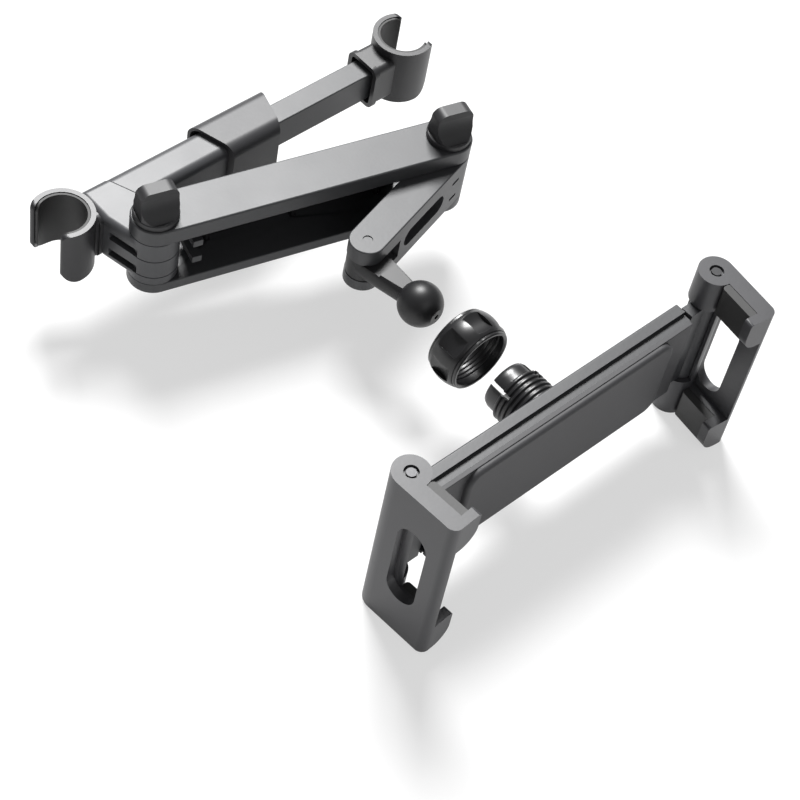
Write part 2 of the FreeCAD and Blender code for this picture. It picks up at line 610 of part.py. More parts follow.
def socket_collet():
    """Split threaded socket for the ball, with a spigot into the rail."""
    points = [(0, COLLET_BASE), (COLLET_R + 0.5, COLLET_BASE), (COLLET_R + 0.5, COLLET_BASE + 1.6)]
    place = COLLET_BASE + 1.6
    while place + THREAD_PITCH <= COLLET_THREAD_END:
        points += [(COLLET_R - THREAD_DEPTH, place + 0.3), (COLLET_R - THREAD_DEPTH, place + 0.8),
                   (COLLET_R, place + 1.2), (COLLET_R, place + 1.8)]
        place += THREAD_PITCH
    points += [(COLLET_TIP_R + 0.1, COLLET_THREAD_END), (COLLET_TIP_R, COLLET_TIP - 1.6),
               (COLLET_TIP_R - 0.6, COLLET_TIP), (0, COLLET_TIP)]
    body = revolve_y(points)
    body = body.cut(revolve_y([(0, SOCKET_Y), (COLLET_BORE_R, SOCKET_Y), (COLLET_BORE_R, COLLET_TIP + 1),
                               (0, COLLET_TIP + 1)]))
    body = body.cut(cup_room(COLLET_BORE_R, 90.0)).cut(cup_room(SEAT_R + AIR, SEAT_ROOM))
    for index in range(COLLET_SLOTS // 2):
        slot = box(-20, 20, SOCKET_Y - 2.0, COLLET_TIP + 1, -COLLET_SLOT_W / 2, COLLET_SLOT_W / 2)
        body = body.cut(turn(slot, index * 90 + 40, axis=Y_AXIS))
    spigot = rod_y(4.0, RAIL_BACK - RAIL_WALL - 0.4, COLLET_BASE + 0.5)
    body = body.fuse(spigot).cut(rod_y(1.3, RAIL_BACK - RAIL_WALL - 1, COLLET_BASE + 2.6))
    return holder_frame(body.removeSplitter())


def cup_room(radius, spread):
    """Part of a ball round the socket centre, up to an angle from its lowest point."""
    angle = math.radians(spread)
    centre = V(0, SOCKET_Y, 0)
    low = V(0, SOCKET_Y - radius, 0)
    half = V(radius * math.sin(angle / 2), SOCKET_Y - radius * math.cos(angle / 2), 0)
    rim = V(radius * math.sin(angle), SOCKET_Y - radius * math.cos(angle), 0)
    top = V(0, rim.y, 0)
    edges = [Part.Arc(low, half, rim).toShape(), Part.makeLine(rim, top if rim.y < SOCKET_Y - 0.01 else centre),
             Part.makeLine(top if rim.y < SOCKET_Y - 0.01 else centre, low)]
    return Part.Face(Part.Wire(edges)).revolve(centre, Y_AXIS, 360)


def ball_seat():
    """Shallow cup in the bottom of the socket, against which the ball is pressed."""
    cup = cup_room(SEAT_R, SEAT_SPREAD).cut(cup_room(SEAT_BORE_R, 90.0))
    return holder_frame(cup)


def collet_screw():
    """Screw and wide washer face that hold the collet to the rail from inside."""
    back = RAIL_BACK - RAIL_WALL - 0.45
    head = rod_y(4.8, back - 1.1, back).fuse(rod_y(1.3, back - 0.5, COLLET_BASE + 1.9))
    cross = box(-2.2, 2.2, back - 1.2, back - 0.6, -0.4, 0.4)
    return holder_frame(head.cut(cross).cut(turn(cross, 90, V(0, 0, 0), Y_AXIS)).removeSplitter())


def rail_shell():
    """Back shell of the holder's rail: a channel with a flat top and bottom band."""
    body = box(-RAIL_HALF_L, RAIL_HALF_L, RAIL_BACK - RAIL_FLANGE, RAIL_BACK, -RAIL_HALF_H, RAIL_HALF_H)
    body = round_edges(body, 0.9, lambda e: along(X_AXIS)(e) and e.CenterOfMass.y > RAIL_BACK - 0.1)
    hollow = box(-RAIL_HALF_L - 1, RAIL_HALF_L + 1, RAIL_BACK - RAIL_FLANGE - 1, RAIL_BACK - RAIL_WALL,
                 -RAIL_HALF_H + RAIL_WALL, RAIL_HALF_H - RAIL_WALL)
    body = body.cut(hollow)
    for z in (SLIDER_HALF_H + 0.4, -SLIDER_HALF_H - 2.0, GROOVE_FLOOR - 1.4, -GROOVE_FLOOR):
        body = body.fuse(box(-RAIL_HALF_L, RAIL_HALF_L, COVER_BACK, RAIL_BACK - RAIL_WALL + 0.3, z, z + RAIL_RIB))
    return holder_frame(body.cut(rod_y(4.0 + RUN, -20, 20)).removeSplitter())


def front_cover():
    """Front plate of the rail with the raised tablet pad moulded on it."""
    plate = box(-COVER_HALF_L, COVER_HALF_L, COVER_FRONT, COVER_BACK, -RAIL_HALF_H + 0.4, RAIL_HALF_H - 0.8)
    pad = box(-PAD_HALF_L, PAD_HALF_L, PAD_FRONT, COVER_FRONT + 0.2, PAD_BOTTOM, PAD_TOP)
    pad = round_edges(pad, PAD_CORNER_R, along(Y_AXIS))
    pad = round_edges(pad, PAD_EDGE_R, lambda e: e.CenterOfMass.y < PAD_FRONT + 1e-3)
    body = plate.fuse(pad)
    for side in (-1, 1):
        post = box(-1.0, 1.0, COVER_BACK - 0.2, -1.0, -2.0, 2.0)
        body = body.fuse(move(post, V(-side * (SPRING_ANCHOR + 1.0), 0, -side * SPRING_LANE)))
    return holder_frame(body.removeSplitter())


def cover_screws():
    """Screws that hold the front cover to the shell, reached from the back."""
    screws = []
    for x in (-46.0, 46.0):
        for z in (-COVER_SCREW_Z, COVER_SCREW_Z):
            head = rod_y(1.5, RAIL_BACK - RAIL_WALL - 1.3, RAIL_BACK - RAIL_WALL - 0.02, x, z)
            shank = rod_y(0.9, COVER_BACK + 0.02, RAIL_BACK - RAIL_WALL - 1.2, x, z)
            screws.append(head.fuse(shank).removeSplitter())
    return holder_frame(Part.makeCompound(screws))


def slider(side):
    """Sliding plate of one side with the knuckle that carries the foot pin; side is -1 or 1."""
    back = RAIL_BACK - RAIL_WALL - FACE
    front = back - SLIDER_T
    lo, hi = SLIDER_INNER, PIN_HALF
    plate = box(lo, hi - 2, front, back, -SLIDER_HALF_H, SLIDER_HALF_H)
    plate = plate.cut(box(lo + 10, RAIL_HALF_L - 12, front - 1, back + 1, -4.0, 4.0))
    neck = box(RAIL_HALF_L + 0.6, hi, COVER_BACK + 0.4, back, -RAIL_HALF_H + 0.3, RAIL_HALF_H - 0.3)
    knuckle = rod(KNUCKLE_R, -RAIL_HALF_H + 0.2, RAIL_HALF_H - 0.2, hi)
    ledge = box(lo, lo + 3, COVER_BACK + 0.5, front + 0.5, -2.0, 2.0)
    ledge = move(ledge, V(0, 0, -side * SPRING_LANE))
    body = plate.fuse(neck).fuse(knuckle).fuse(ledge).cut(rod(PIN_R + RUN, -60, 60, hi))
    body = body.removeSplitter()
    if side < 0:
        body = body.mirror(V(0, 0, 0), X_AXIS)
    return holder_frame(body)


def slider_spring(side):
    """Spring that pulls one slider inwards, between the shell's post and the slider."""
    sleeve = ribbed_sleeve(-SPRING_ANCHOR, SLIDER_INNER, SLIDER_SPRING_R, 0.45, 12)
    sleeve = move(sleeve, V(0, COVER_BACK + SLIDER_SPRING_R + 0.3, -SPRING_LANE))
    if side < 0:
        sleeve = turn(sleeve, 180, axis=Y_AXIS)
    return holder_frame(sleeve)


def foot_frame(shape, side):
    """Place a foot piece made in (across, depth) axes at its pin; side is -1 or 1."""
    swing = LEFT_SWING if side < 0 else RIGHT_SWING
    shape = turn(shape, swing)
    if side > 0:
        shape = shape.mirror(V(0, 0, 0), X_AXIS)
    return holder_frame(move(shape, V(side * PIN_HALF, 0, 0)))


def jaw_profile(z0, z1):
    """One jaw: barrel, body and lip, at full height."""
    body = box(-FOOT_R, PAD_SEAM, -FOOT_DEPTH, 0, z0, z1)
    lip = box(PAD_SEAM - 1, LIP_TIP, -FOOT_DEPTH, -LIP_BACK, z0, z1)
    shape = body.fuse(lip).removeSplitter()
    shape = round_edges(shape, FOOT_CORNER_R,
                        lambda e: along(Z_AXIS)(e) and e.CenterOfMass.x < -FOOT_R + 0.1 and e.CenterOfMass.y < -20)
    shape = round_edges(shape, LIP_CORNER_R,
                        lambda e: along(Y_AXIS)(e) and e.CenterOfMass.x > LIP_TIP - 0.1
                        and e.CenterOfMass.z < z0 + 0.1)
    shape = round_edges(shape, 1.2,
                        lambda e: along(Y_AXIS)(e) and e.CenterOfMass.x > LIP_TIP - 0.1
                        and e.CenterOfMass.z > z1 - 0.1)
    return shape


def foot(side):
    """Swinging foot: window plate, two jaws and the hinge barrel."""
    plate = box(-FOOT_R, -FOOT_R + PLATE_T, -FOOT_DEPTH, 0, FOOT_BOTTOM, FOOT_TOP)
    plate = round_edges(plate, PLATE_T - 0.2,
                        lambda e: along(Z_AXIS)(e) and e.CenterOfMass.y < -20 and e.CenterOfMass.x < -FOOT_R + 0.1)
    shell = tube(FOOT_R, KNUCKLE_R + AIR, FOOT_BOTTOM, FOOT_TOP).common(box(-20, 0, -20, 20, -60, 60))
    upper = rod(FOOT_R, RAIL_HALF_H + FACE, FOOT_TOP)
    lower = rod(FOOT_R, FOOT_BOTTOM, -RAIL_HALF_H - FACE)
    jaws = jaw_profile(FOOT_TOP - JAW_TOP_H, FOOT_TOP).fuse(jaw_profile(FOOT_BOTTOM, FOOT_BOTTOM + JAW_BOTTOM_H))
    body = plate.fuse(shell).fuse(upper).fuse(lower).fuse(jaws).removeSplitter()
    near, far, low, high = WINDOW
    radius = (far - near) / 2
    window = rod_x(radius, -20, -FOOT_R + PLATE_T + 0.1, -(near + far) / 2, high - radius)
    window = window.fuse(rod_x(radius, -20, -FOOT_R + PLATE_T + 0.1, -(near + far) / 2, low + radius))
    window = window.fuse(box(-20, -FOOT_R + PLATE_T + 0.1, -far, -near, low + radius, high - radius))
    body = body.cut(window)
    for z0, z1 in JAW_PADS:
        body = body.cut(jaw_pad_block(z0 - 0.02, z1 + 0.02, 0.02))
    body = body.cut(rod(KNUCKLE_R + AIR, -RAIL_HALF_H - FACE, RAIL_HALF_H + FACE))
    body = body.cut(rod(PIN_R + RUN, -60, 60)).cut(rod(PIN_RING_R, FOOT_TOP - 1.2, FOOT_TOP + 1))
    return foot_frame(body.removeSplitter(), side)


JAW_PADS = ((FOOT_TOP - JAW_TOP_H + 1.2, FOOT_TOP - JAW_PAD_SINK),
            (FOOT_BOTTOM + 1.2, FOOT_BOTTOM + JAW_BOTTOM_H - JAW_PAD_SINK))


def jaw_pad_block(z0, z1, swell=0.0):
    """Grip pad let into the inner side of a jaw."""
    block = box(PAD_SEAM - 1.4 - swell, PAD_FACE, -LIP_BACK - swell, -JAW_PAD_START + swell, z0, z1)
    return round_edges(block, JAW_PAD_CORNER_R + swell, lambda e: along(Z_AXIS)(e) and e.CenterOfMass.x < 0)


def jaw_pad(side, index):
    """Soft pad of one jaw."""
    z0, z1 = JAW_PADS[index]
    pad = jaw_pad_block(z0, z1)
    pad = round_edges(pad, 1.4, lambda e: along(Z_AXIS)(e) and e.CenterOfMass.x > 0 and e.CenterOfMass.y > -12)
    return foot_frame(pad, side)


def foot_pin(side):
    """Hinge pin of a foot, seen at the top of the barrel."""
    return foot_frame(rod(PIN_R, FOOT_BOTTOM + 0.6, FOOT_TOP - 0.3), side)


def build():
    """Every node and its shape."""
    nodes = {
        "left_hook": left_hook(),
        "left_hook_liner": hook_liner(),
        "hinge_block": hinge_block(),
        "outer_tube": outer_tube(),
        "bar_collar": bar_collar(),
        "bar_spring": bar_spring(),
        "inner_tube": inner_tube(),
        "right_hook": right_hook(),
        "right_hook_liner": move(turn(hook_liner(), 180), V(POST_SPACING, 0, 0)),
        "long_arm_top": long_arm_top(),
        "long_arm_bottom": long_arm_bottom(),
        "arm_screws": arm_screws(),
        "short_arm": short_arm(),
        "link_pin": link_pin(),
        "ball_link": ball_link(),
        "ring_nut": ring_nut(),
        "socket_collet": socket_collet(),
        "ball_seat": ball_seat(),
        "collet_screw": collet_screw(),
        "rail_shell": rail_shell(),
        "front_cover": front_cover(),
        "cover_screws": cover_screws(),
    }
    for name, pivot in (("left", ARM_PIVOT), ("right", ARM_END)):
        nodes[name + "_knob"] = move(turn(wing_knob(), LONG_ARM_ANGLE), pivot)
        nodes[name + "_pivot_bolt"] = move(turn(pivot_bolt(), LONG_ARM_ANGLE), pivot)
        nodes[name + "_pivot_nut"] = move(turn(pivot_nut(), LONG_ARM_ANGLE), pivot)
    for name, side in (("left", -1), ("right", 1)):
        nodes[name + "_slider"] = slider(side)
        nodes[name + "_slider_spring"] = slider_spring(side)
        nodes[name + "_foot"] = foot(side)
        nodes[name + "_foot_pin"] = foot_pin(side)
        for index, level in enumerate(("upper", "lower")):
            nodes[name + "_" + level + "_jaw_pad"] = jaw_pad(side, index)
    return nodes


def main():
    """Write one STEP file per node."""
    os.makedirs("parts", exist_ok=True)
    for name, shape in build().items():
        shape.exportStep("parts/" + name + ".step")
        print(name, len(shape.Solids), "solids, valid", shape.isValid(), "volume", round(shape.Volume, 1))


main()
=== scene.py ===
"""Looks of the headrest tablet mount: finishes, fine pieces, stage, lamps and camera."""

import logging
import math
from dataclasses import dataclass
from enum import Enum

import bmesh
import bpy
from mathutils import Matrix, Vector


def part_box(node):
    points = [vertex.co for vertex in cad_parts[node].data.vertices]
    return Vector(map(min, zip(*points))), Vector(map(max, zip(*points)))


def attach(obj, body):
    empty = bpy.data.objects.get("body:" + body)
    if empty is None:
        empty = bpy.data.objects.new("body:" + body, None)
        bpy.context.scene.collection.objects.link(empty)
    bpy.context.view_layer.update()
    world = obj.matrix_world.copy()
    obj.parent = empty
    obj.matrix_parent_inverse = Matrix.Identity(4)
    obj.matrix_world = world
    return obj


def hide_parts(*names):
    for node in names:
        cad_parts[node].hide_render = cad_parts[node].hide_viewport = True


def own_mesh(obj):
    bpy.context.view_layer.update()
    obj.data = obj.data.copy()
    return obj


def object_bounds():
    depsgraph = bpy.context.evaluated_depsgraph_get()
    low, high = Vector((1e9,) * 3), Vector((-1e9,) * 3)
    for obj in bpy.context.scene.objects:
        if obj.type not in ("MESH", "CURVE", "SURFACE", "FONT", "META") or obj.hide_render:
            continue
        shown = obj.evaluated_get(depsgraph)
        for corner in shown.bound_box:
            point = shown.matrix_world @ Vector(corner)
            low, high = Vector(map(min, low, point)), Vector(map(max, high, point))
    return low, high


LOG = logging.getLogger("tablet_mount")
MM = 0.001
WHITE = (1, 1, 1, 1)

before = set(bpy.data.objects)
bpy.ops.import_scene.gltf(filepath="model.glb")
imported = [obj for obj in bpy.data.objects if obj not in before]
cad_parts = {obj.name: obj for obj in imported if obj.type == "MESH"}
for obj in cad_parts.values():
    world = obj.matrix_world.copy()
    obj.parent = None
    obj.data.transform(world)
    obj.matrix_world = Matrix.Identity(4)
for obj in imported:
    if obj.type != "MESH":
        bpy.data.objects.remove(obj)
CAD_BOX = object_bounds()


class Slot(Enum):
    """The record's material slots."""

    MATTE = "matte_plastic"
    SATIN = "satin_plastic"
    RUBBER = "soft_rubber"
    STEEL = "plated_steel"


class Direction(Enum):
    """Ways a fine ridge pattern can run over a piece."""

    X = 0
    Y = 1
    Z = 2


# Shared effects


def new_group(name: str, inputs: dict[str, float], outputs: tuple[str, ...]) -> bpy.types.NodeTree:
    """Start a shader node group with its sockets and its two end nodes.

    Args:
        name: the group's name.
        inputs: float inputs and their values.
        outputs: names of its float outputs.

    Returns:
        The group's node tree.
    """
    tree = bpy.data.node_groups.new(name, "ShaderNodeTree")
    for label, value in inputs.items():
        socket = tree.interface.new_socket(label, in_out="INPUT", socket_type="NodeSocketFloat")
        socket.default_value = value
    for label in outputs:
        tree.interface.new_socket(label, in_out="OUTPUT", socket_type="NodeSocketFloat")
    tree.nodes.new("NodeGroupInput")
    tree.nodes.new("NodeGroupOutput")
    return tree


def ends(tree: bpy.types.NodeTree) -> tuple[bpy.types.Node, bpy.types.Node]:
    """Find the two end nodes of a group.

    Args:
        tree: the group's node tree.

    Returns:
        The group's input node and its output node.
    """
    source = next(node for node in tree.nodes if node.type == "GROUP_INPUT")
    target = next(node for node in tree.nodes if node.type == "GROUP_OUTPUT")
    return source, target


def sum_node(tree: bpy.types.NodeTree, operation: str, second: float | None = None) -> bpy.types.Node:
    """Add one math node.

    Args:
        tree: the node tree that gets it.
        operation: Blender's name of the sum.
        second: value of its second input, where nothing is linked there.

    Returns:
        The new node.
    """
    node = tree.nodes.new("ShaderNodeMath")
    node.operation = operation
    if second is not None:
        node.inputs[1].default_value = second
    return node


def noise_node(tree: bpy.types.NodeTree, detail: float, roughness: float = 0.5) -> bpy.types.Node:
    """Add one noise texture.

    Args:
        tree: the node tree that gets it.
        detail: number of octaves.
        roughness: how strong the fine octaves are.

    Returns:
        The new node.
    """
    node = tree.nodes.new("ShaderNodeTexNoise")
    node.inputs["Detail"].default_value = detail
    node.inputs["Roughness"].default_value = roughness
    return node


def moulded_grain() -> bpy.types.NodeTree:
    """Fine spark-eroded grain of a moulded plastic skin.

    Returns:
        A group that puts out the grain's height.
    """
    cell_share = 0.6
    tree = new_group("moulded_grain", {"Scale": 900.0, "Coarse": 160.0}, ("Height",))
    source, target = ends(tree)
    place = tree.nodes.new("ShaderNodeTexCoord")
    cells = tree.nodes.new("ShaderNodeTexVoronoi")
    cells.feature = "SMOOTH_F1"
    clouds = noise_node(tree, detail=3.0)
    join = sum_node(tree, "MULTIPLY_ADD", cell_share)
    tree.links.new(place.outputs["Object"], cells.inputs["Vector"])
    tree.links.new(place.outputs["Object"], clouds.inputs["Vector"])
    tree.links.new(source.outputs["Scale"], cells.inputs["Scale"])
    tree.links.new(source.outputs["Coarse"], clouds.inputs["Scale"])
    tree.links.new(cells.outputs["Distance"], join.inputs[0])
    tree.links.new(clouds.outputs["Fac"], join.inputs[2])
    tree.links.new(join.outputs[0], target.inputs["Height"])
    return tree


def handling_marks() -> bpy.types.NodeTree:
    """Large soft patches where a skin is a little shinier or duller.

    Returns:
        A group that puts out a roughness and a tone factor.
    """
    tree = new_group("handling_marks", {"Scale": 28.0, "Roughness": 0.45, "Spread": 0.08},
                     ("Roughness", "Tone"))
    source, target = ends(tree)
    place = tree.nodes.new("ShaderNodeTexCoord")
    clouds = noise_node(tree, detail=5.0, roughness=0.62)
    centre = sum_node(tree, "SUBTRACT", 0.5)
    swing = sum_node(tree, "MULTIPLY_ADD")
    tree.links.new(place.outputs["Object"], clouds.inputs["Vector"])
    tree.links.new(source.outputs["Scale"], clouds.inputs["Scale"])
    tree.links.new(clouds.outputs["Fac"], centre.inputs[0])
    tree.links.new(centre.outputs[0], swing.inputs[0])
    tree.links.new(source.outputs["Spread"], swing.inputs[1])
    tree.links.new(source.outputs["Roughness"], swing.inputs[2])
    tree.links.new(swing.outputs[0], target.inputs["Roughness"])
    tree.links.new(clouds.outputs["Fac"], target.inputs["Tone"])
    return tree


def fine_ridges() -> bpy.types.NodeTree:
    """Parallel ridges, as on turned steel or ribbed rubber.

    Returns:
        A group that puts out the ridges' height along the way that X, Y and Z give.
    """
    tree = new_group("fine_ridges", {"Pitch": 1000.0, "X": 0.0, "Y": 0.0, "Z": 1.0}, ("Height",))
    source, target = ends(tree)
    place = tree.nodes.new("ShaderNodeTexCoord")
    axis = tree.nodes.new("ShaderNodeCombineXYZ")
    along = tree.nodes.new("ShaderNodeVectorMath")
    along.operation = "DOT_PRODUCT"
    count = sum_node(tree, "MULTIPLY")
    wave = sum_node(tree, "SINE")
    for label in ("X", "Y", "Z"):
        tree.links.new(source.outputs[label], axis.inputs[label])
    tree.links.new(place.outputs["Object"], along.inputs[0])
    tree.links.new(axis.outputs[0], along.inputs[1])
    tree.links.new(along.outputs["Value"], count.inputs[0])
    tree.links.new(source.outputs["Pitch"], count.inputs[1])
    tree.links.new(count.outputs[0], wave.inputs[0])
    tree.links.new(wave.outputs[0], target.inputs["Height"])
    return tree


GRAIN = moulded_grain()
MARKS = handling_marks()
RIDGES = fine_ridges()


# Finishes


@dataclass(frozen=True)
class Finish:
    """One surface finish: its tone, gloss and grain. Depths and pitches are in millimetres."""

    name: str
    slot: Slot
    tone: tuple[float, float, float]
    tone_spread: float = 0.18
    roughness: float = 0.45
    roughness_spread: float = 0.10
    grain_scale: float = 900.0
    grain_depth: float = 0.05
    grain_strength: float = 0.35
    coarse_share: float = 0.2
    metallic: float = 0.0
    coat: float = 0.0
    coat_roughness: float = 0.12
    specular: float = 0.5
    ridge_pitch: float = 0.0
    ridge_depth: float = 0.12
    ridge_strength: float = 0.5
    ridge_way: Direction = Direction.Z

    def build(self) -> bpy.types.Material:
        """Make the material once, and give it back on later calls.

        Returns:
            The material.
        """
        if self.name in bpy.data.materials:
            return bpy.data.materials[self.name]
        material = bpy.data.materials.new(self.name)
        material.use_nodes = True
        tree = material.node_tree
        shader = tree.nodes["Principled BSDF"]
        shader.inputs["Metallic"].default_value = self.metallic
        shader.inputs["Coat Weight"].default_value = self.coat
        shader.inputs["Coat Roughness"].default_value = self.coat_roughness
        shader.inputs["Specular IOR Level"].default_value = self.specular
        self.add_tone(tree, shader)
        last = self.add_grain(tree)
        if self.ridge_pitch:
            last = self.add_ridges(tree, last)
        tree.links.new(last.outputs["Normal"], shader.inputs["Normal"])
        return material

    def add_tone(self, tree: bpy.types.NodeTree, shader: bpy.types.Node) -> None:
        """Let the tone and the gloss wander a little over the skin.

        Args:
            tree: the material's nodes.
            shader: the shader that gets the colour and the roughness.
        """
        marks = tree.nodes.new("ShaderNodeGroup")
        marks.node_tree = MARKS
        marks.inputs["Roughness"].default_value = self.roughness
        marks.inputs["Spread"].default_value = self.roughness_spread
        tone = tree.nodes.new("ShaderNodeMix")
        tone.data_type = "RGBA"
        low = [channel * (1 - self.tone_spread) for channel in self.tone]
        high = [min(1.0, channel * (1 + self.tone_spread)) for channel in self.tone]
        tone.inputs["A"].default_value = (*low, 1)
        tone.inputs["B"].default_value = (*high, 1)
        tree.links.new(marks.outputs["Tone"], tone.inputs["Factor"])
        tree.links.new(tone.outputs["Result"], shader.inputs["Base Color"])
        tree.links.new(marks.outputs["Roughness"], shader.inputs["Roughness"])

    def add_grain(self, tree: bpy.types.NodeTree) -> bpy.types.Node:
        """Lay the moulded grain on the skin.

        Args:
            tree: the material's nodes.

        Returns:
            The bump node of the grain.
        """
        grain = tree.nodes.new("ShaderNodeGroup")
        grain.node_tree = GRAIN
        grain.inputs["Scale"].default_value = self.grain_scale
        grain.inputs["Coarse"].default_value = self.grain_scale * self.coarse_share
        bump = tree.nodes.new("ShaderNodeBump")
        bump.inputs["Strength"].default_value = self.grain_strength
        bump.inputs["Distance"].default_value = self.grain_depth * MM
        tree.links.new(grain.outputs["Height"], bump.inputs["Height"])
        return bump

    def add_ridges(self, tree: bpy.types.NodeTree, bump: bpy.types.Node) -> bpy.types.Node:
        """Lay parallel ridges over the grain.

        Args:
            tree: the material's nodes.
            bump: the bump node of the grain.

        Returns:
            The bump node that carries both.
        """
        ridges = tree.nodes.new("ShaderNodeGroup")
        ridges.node_tree = RIDGES
        ridges.inputs["Pitch"].default_value = 2 * math.pi / (self.ridge_pitch * MM)
        for way in Direction:
            ridges.inputs[way.name].default_value = 1.0 if way is self.ridge_way else 0.0
        over = tree.nodes.new("ShaderNodeBump")
        over.inputs["Strength"].default_value = self.ridge_strength
        over.inputs["Distance"].default_value = self.ridge_depth * MM
        tree.links.new(ridges.outputs["Height"], over.inputs["Height"])
        tree.links.new(bump.outputs["Normal"], over.inputs["Normal"])
        return over


BAR_BLACK = Finish("bar_black", Slot.MATTE, (0.055, 0.056, 0.060), roughness=0.42, grain_depth=0.04)
COLLAR_BLACK = Finish("collar_black", Slot.MATTE, (0.036, 0.036, 0.039), roughness=0.46, grain_depth=0.05)
ARM_BLACK = Finish("arm_black", Slot.MATTE, (0.042, 0.043, 0.046), roughness=0.44, grain_depth=0.05)
HOOK_BLACK = Finish("hook_black", Slot.MATTE, (0.020, 0.020, 0.022), roughness=0.42, grain_depth=0.04)
KNOB_BLACK = Finish("knob_black", Slot.MATTE, (0.022, 0.022, 0.024), roughness=0.50, grain_depth=0.05)
RAIL_BLACK = Finish("rail_black", Slot.MATTE, (0.036, 0.037, 0.040), roughness=0.44, grain_depth=0.05)
PAD_BLACK = Finish("pad_black", Slot.MATTE, (0.040, 0.040, 0.043), roughness=0.56, grain_scale=1300,
                   grain_depth=0.07)
FOOT_BLACK = Finish("foot_black", Slot.MATTE, (0.046, 0.046, 0.050), roughness=0.42, grain_depth=0.04)
GLOSS_BLACK = Finish("gloss_black", Slot.SATIN, (0.012, 0.012, 0.013), roughness=0.33, roughness_spread=0.08,
                     grain_depth=0.012, coat=0.10)
BALL_BLACK = Finish("ball_black", Slot.SATIN, (0.011, 0.011, 0.012), roughness=0.42, roughness_spread=0.08,
                    grain_depth=0.012, specular=0.45)
LINER_RUBBER = Finish("liner_rubber", Slot.RUBBER, (0.018, 0.018, 0.018), roughness=0.58, grain_depth=0.05)
JAW_RUBBER = Finish("jaw_rubber", Slot.RUBBER, (0.028, 0.028, 0.028), roughness=0.52, grain_depth=0.05)
ZINC = Finish("zinc_plate", Slot.STEEL, (0.50, 0.50, 0.51), roughness=0.30, metallic=1.0, grain_depth=0.015,
              ridge_pitch=0.35)
BLACKED_STEEL = Finish("blacked_steel", Slot.STEEL, (0.05, 0.05, 0.052), roughness=0.36, metallic=0.7,
                       grain_depth=0.02)


# Making and dressing pieces


def round_edges(piece: bpy.types.Object, edge: float) -> None:
    """Round a CAD piece's sharp edges with live modifiers.

    Args:
        piece: the CAD piece.
        edge: radius of the round, in millimetres.
    """
    seam, sharp_from = 0.004 * MM, math.radians(38)
    weld = piece.modifiers.new("weld", "WELD")
    weld.merge_threshold = seam
    rounding = piece.modifiers.new("edge_round", "BEVEL")
    rounding.width = edge * MM
    rounding.segments = 2
    rounding.limit_method = "ANGLE"
    rounding.angle_limit = sharp_from
    rounding.use_clamp_overlap = True
    rounding.harden_normals = True
    shade = piece.modifiers.new("shade", "WEIGHTED_NORMAL")
    shade.keep_sharp = True


def dress(node: str, finish: Finish, edge: float = 0.0) -> None:
    """Give a CAD node its finish and, if asked, a small edge round.

    Args:
        node: the node's name.
        finish: the finish of its whole skin.
        edge: radius of the edge round, in millimetres.
    """
    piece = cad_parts[node]
    piece.data.materials.clear()
    piece.data.materials.append(finish.build())
    if edge:
        round_edges(piece, edge)
    LOG.info("dressed %s in %s", node, finish.name)


def finish_piece(mesh: bmesh.types.BMesh, name: str, finish: Finish, body: str,
                 replaces: tuple[str, ...] = ()) -> bpy.types.Object:
    """Turn a bmesh into a piece that rides on a body.

    Args:
        mesh: the finished bmesh, in metres in the row frame.
        name: the piece's name.
        finish: its finish.
        body: the CAD body it moves with.
        replaces: CAD nodes it stands for.

    Returns:
        The new object.
    """
    same_point, one_skin_up_to = 0.001 * MM, math.radians(35)
    bmesh.ops.remove_doubles(mesh, verts=mesh.verts, dist=same_point)
    bmesh.ops.recalc_face_normals(mesh, faces=mesh.faces)
    data = bpy.data.meshes.new(name)
    mesh.to_mesh(data)
    mesh.free()
    data.materials.append(finish.build())
    data.shade_smooth()
    data.set_sharp_from_angle(angle=one_skin_up_to)
    piece = bpy.data.objects.new(name, data)
    bpy.context.scene.collection.objects.link(piece)
    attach(piece, body)
    if replaces:
        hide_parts(*replaces)
    LOG.info("built %s with %d faces", name, len(data.polygons))
    return piece


def coil(mesh: bmesh.types.BMesh, start: Vector, end: Vector, radius: float, wire: float, turns: int,
         steps: int = 24) -> None:
    """Sweep a round wire along a helix with the spin operator.

    Args:
        mesh: the bmesh that gets the coil.
        start: middle of the first turn.
        end: middle of the last turn.
        radius: radius of the wire's centre line.
        wire: radius of the wire.
        turns: number of turns.
        steps: steps in one turn.
    """
    axis = (end - start).normalized()
    side = axis.orthogonal().normalized()
    across = axis.cross(side).to_track_quat("Z", "Y").to_matrix().to_4x4()
    ring = bmesh.ops.create_circle(mesh, cap_ends=True, segments=8, radius=wire,
                                   matrix=Matrix.Translation(start + side * radius) @ across)
    faces = {face for vert in ring["verts"] for face in vert.link_faces}
    edges = {edge for face in faces for edge in face.edges}
    total = turns * steps
    bmesh.ops.spin(mesh, geom=list(faces) + list(edges) + ring["verts"], cent=start, axis=axis,
                   dvec=(end - start) / total, angle=turns * 2 * math.pi, steps=total,
                   use_merge=False, use_duplicate=False)


def wound_spring(node: str, body: str, wire: float, pitch: float) -> bpy.types.Object:
    """Wind a round wire in place of a CAD spring that lies along X.

    Args:
        node: the CAD spring.
        body: the CAD body it moves with.
        wire: diameter of the wire, in millimetres.
        pitch: distance from turn to turn, in millimetres.

    Returns:
        The spring.
    """
    low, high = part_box(node)
    centre = (low + high) / 2
    half = Vector(((high.x - low.x - wire * MM) / 2, 0, 0))
    radius = (high.z - low.z - wire * MM) / 2
    mesh = bmesh.new()
    coil(mesh, centre - half, centre + half, radius, wire * MM / 2, round(2 * half.x / (pitch * MM)))
    return finish_piece(mesh, f"{node}_wire", ZINC, body, replaces=(node,))


# Sub-assemblies

SIDES = ("left", "right")


